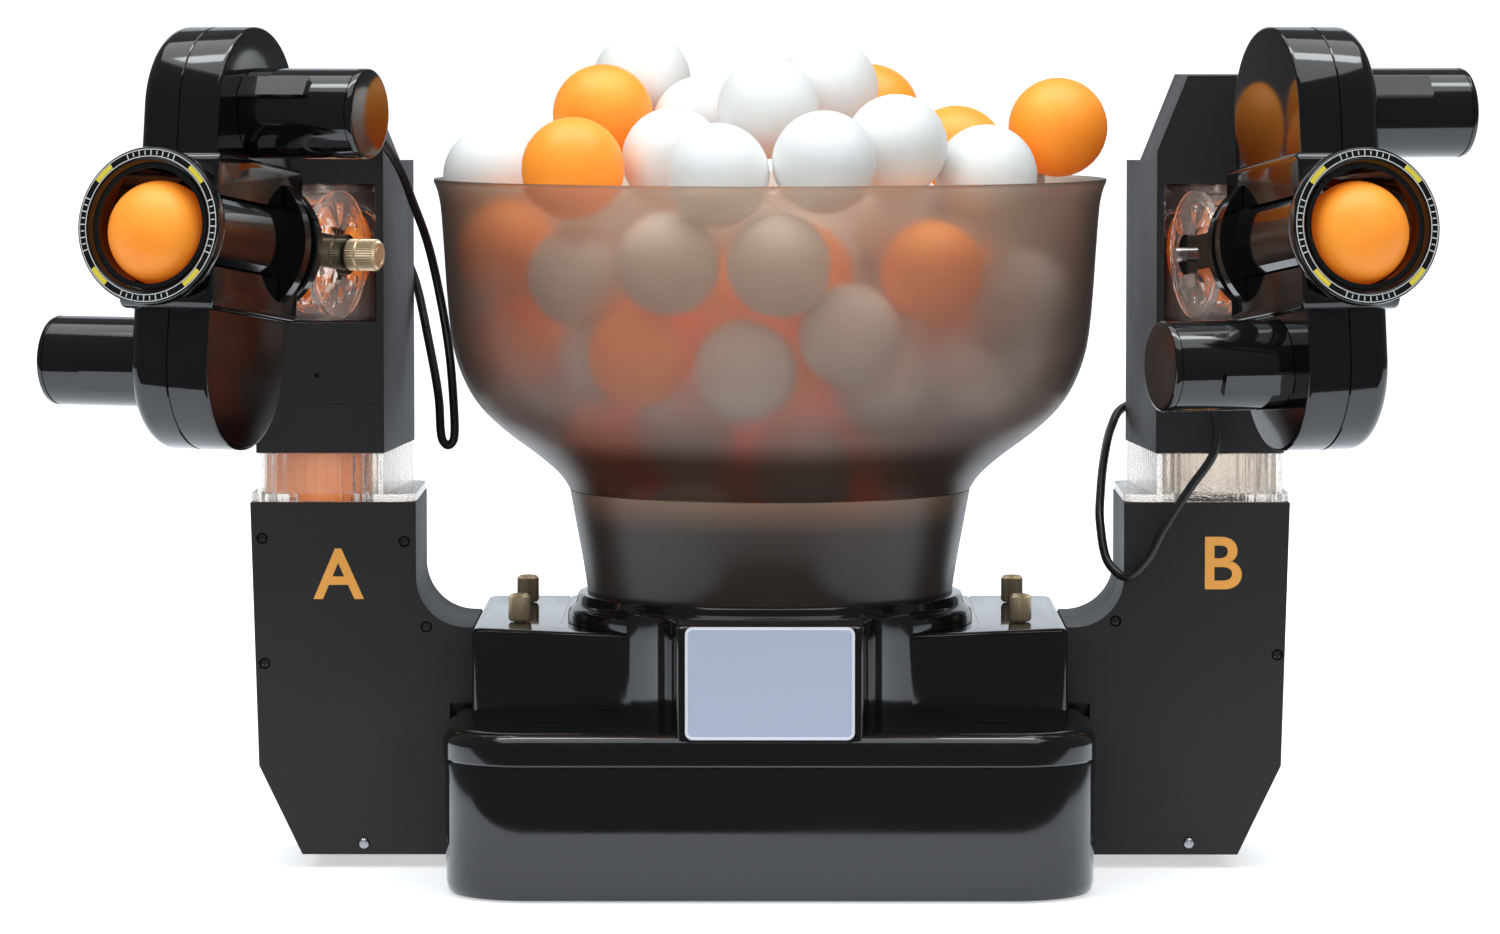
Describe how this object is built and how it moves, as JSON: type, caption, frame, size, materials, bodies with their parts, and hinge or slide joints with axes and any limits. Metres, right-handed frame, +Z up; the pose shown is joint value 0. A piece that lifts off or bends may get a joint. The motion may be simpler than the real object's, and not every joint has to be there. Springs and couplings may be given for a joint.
{
  "type": "table tennis robot",
  "caption": "Tabletop ball-throwing machine: a bowl feeds balls through side arms to aimable throwing heads with spinning wheels.",
  "frame": {"origin": "on the table under the bowl's axis, on the flat underside of the base tray", "axes": "+Z up along the bowl's axis, +X across the arms towards arm B, the heads throw towards -Y"},
  "size_m": [0.5585, 0.2776, 0.3353],
  "materials": {
    "gloss_black": "glossy injection-moulded black",
    "satin_black": "finely textured satin black",
    "clear": "clear moulding",
    "smoke": "frosted translucent smoke brown",
    "panel_grey": "plain satin plate",
    "brass": "turned and knurled",
    "motor_steel": "plated steel",
    "rubber": "matte black",
    "gear_white": "natural nylon"
  },
  "bodies": {
    "base": {"base_tray": "gloss_black", "base_cover": "gloss_black", "control_panel": "panel_grey", "power_inlet": "gloss_black", "seat_ring": "gloss_black", "feed_motor": "motor_steel", "rubber_strip_a": "rubber", "rubber_strip_b": "rubber", "base_duct_a": "satin_black", "casing_front_a": "satin_black", "casing_back_a": "satin_black", "arm_tube_a": "satin_black", "clear_block_a": "clear", "column_a": "satin_black", "column_back_a": "satin_black", "cable_a": "rubber", "base_duct_b": "satin_black", "casing_front_b": "satin_black", "casing_back_b": "satin_black", "arm_tube_b": "satin_black", "clear_block_b": "clear", "column_b": "satin_black", "column_back_b": "satin_black", "cable_b": "rubber"},
    "hopper": {"bowl": "smoke", "bowl_neck": "smoke"},
    "feed_rotor": {"feed_disc": "satin_black", "feed_gear": "gear_white"},
    "feed_drive": {"feed_pinion": "motor_steel"},
    "thumb_screw_front_a": {"thumb_screw_front_a": "brass"},
    "thumb_screw_front_b": {"thumb_screw_front_b": "brass"},
    "thumb_screw_back_a": {"thumb_screw_back_a": "brass"},
    "thumb_screw_back_b": {"thumb_screw_back_b": "brass"},
    "elbow_a": {"elbow_a": "clear"},
    "collar_a": {"collar_a": "gloss_black"},
    "lock_nut_a": {"lock_nut_a": "brass"},
    "head_a": {"barrel_a": "gloss_black", "mouth_ring_a": "satin_black", "upper_housing_left_a": "gloss_black", "upper_housing_right_a": "gloss_black", "upper_motor_a": "gloss_black", "lower_housing_left_a": "gloss_black", "lower_housing_right_a": "gloss_black", "lower_motor_a": "gloss_black"},
    "upper_wheel_a": {"upper_wheel_a": "rubber"},
    "lower_wheel_a": {"lower_wheel_a": "rubber"},
    "elbow_b": {"elbow_b": "clear"},
    "collar_b": {"collar_b": "gloss_black"},
    "lock_nut_b": {"lock_nut_b": "brass"},
    "head_b": {"barrel_b": "gloss_black", "mouth_ring_b": "satin_black", "upper_housing_left_b": "gloss_black", "upper_housing_right_b": "gloss_black", "upper_motor_b": "gloss_black", "lower_housing_left_b": "gloss_black", "lower_housing_right_b": "gloss_black", "lower_motor_b": "gloss_black"},
    "upper_wheel_b": {"upper_wheel_b": "rubber"},
    "lower_wheel_b": {"lower_wheel_b": "rubber"}
  },
  "joints": [
    {"name": "bowl_lift", "type": "slide", "parent": "base", "child": "hopper", "axis": [0, 0, 1], "range_m": [0, 0.09]},
    {"name": "feed_spin", "type": "hinge", "parent": "base", "child": "feed_rotor", "pos_m": [0, 0, 0.1], "axis": [0, 0, 1], "continuous": true},
    {"name": "feed_drive_spin", "type": "hinge", "parent": "base", "child": "feed_drive", "pos_m": [0, 0.03, 0.084], "axis": [0, 0, 1], "continuous": true},
    {"name": "thumb_screw_front_a_turn", "type": "hinge", "parent": "base", "child": "thumb_screw_front_a", "pos_m": [-0.1, -0.008, 0.1], "axis": [0, 0, 1], "range_deg": [-180, 180]},
    {"name": "thumb_screw_front_b_turn", "type": "hinge", "parent": "base", "child": "thumb_screw_front_b", "pos_m": [0.1, -0.008, 0.1], "axis": [0, 0, 1], "range_deg": [-180, 180]},
    {"name": "thumb_screw_back_a_turn", "type": "hinge", "parent": "base", "child": "thumb_screw_back_a", "pos_m": [-0.1, 0.077, 0.1], "axis": [0, 0, 1], "range_deg": [-180, 180]},
    {"name": "thumb_screw_back_b_turn", "type": "hinge", "parent": "base", "child": "thumb_screw_back_b", "pos_m": [0.1, 0.077, 0.1], "axis": [0, 0, 1], "range_deg": [-180, 180]},
    {"name": "sweep_a", "type": "hinge", "parent": "base", "child": "elbow_a", "pos_m": [-0.179, 0.01, 0.2455], "axis": [0, 0, 1], "range_deg": [-15, 8]},
    {"name": "tilt_a", "type": "hinge", "parent": "elbow_a", "child": "collar_a", "pos_m": [-0.19024, -0.01782, 0.2455], "axis": [-0.9272, 0.3746, 0], "range_deg": [-10, 15]},
    {"name": "lock_nut_a_turn", "type": "hinge", "parent": "collar_a", "child": "lock_nut_a", "pos_m": [-0.19024, -0.01782, 0.2455], "axis": [0.9272, -0.3746, 0], "range_deg": [-180, 180]},
    {"name": "roll_a", "type": "hinge", "parent": "collar_a", "child": "head_a", "pos_m": [-0.19024, -0.01782, 0.2455], "axis": [-0.3718, -0.9203, 0.1219], "range_deg": [-90, 90]},
    {"name": "upper_wheel_a_spin", "type": "hinge", "parent": "head_a", "child": "upper_wheel_a", "pos_m": [-0.21331, -0.07491, 0.30193], "axis": [0.9272, -0.3746, 0], "continuous": true},
    {"name": "lower_wheel_a_spin", "type": "hinge", "parent": "head_a", "child": "lower_wheel_a", "pos_m": [-0.21774, -0.08587, 0.20565], "axis": [0.9272, -0.3746, 0], "continuous": true},
    {"name": "sweep_b", "type": "hinge", "parent": "base", "child": "elbow_b", "pos_m": [0.179, 0.01, 0.2455], "axis": [0, 0, 1], "range_deg": [-4, 19]},
    {"name": "tilt_b", "type": "hinge", "parent": "elbow_b", "child": "collar_b", "pos_m": [0.18827, -0.01853, 0.2455], "axis": [-0.9511, -0.309, 0], "range_deg": [-10, 15]},
    {"name": "lock_nut_b_turn", "type": "hinge", "parent": "collar_b", "child": "lock_nut_b", "pos_m": [0.18827, -0.01853, 0.2455], "axis": [0.9511, 0.309, 0], "range_deg": [-180, 180]},
    {"name": "roll_b", "type": "hinge", "parent": "collar_b", "child": "head_b", "pos_m": [0.18827, -0.01853, 0.2455], "axis": [0.3067, -0.944, 0.1219], "range_deg": [-90, 90]},
    {"name": "upper_wheel_b_spin", "type": "hinge", "parent": "head_b", "child": "upper_wheel_b", "pos_m": [0.2073, -0.0771, 0.30193], "axis": [0.9511, 0.309, 0], "continuous": true},
    {"name": "lower_wheel_b_spin", "type": "hinge", "parent": "head_b", "child": "lower_wheel_b", "pos_m": [0.21095, -0.08834, 0.20565], "axis": [0.9511, 0.309, 0], "continuous": true}
  ],
  "couplings": [
    {"joint": "feed_drive_spin", "follows": "feed_spin", "ratio": -2.3333}
  ]
}
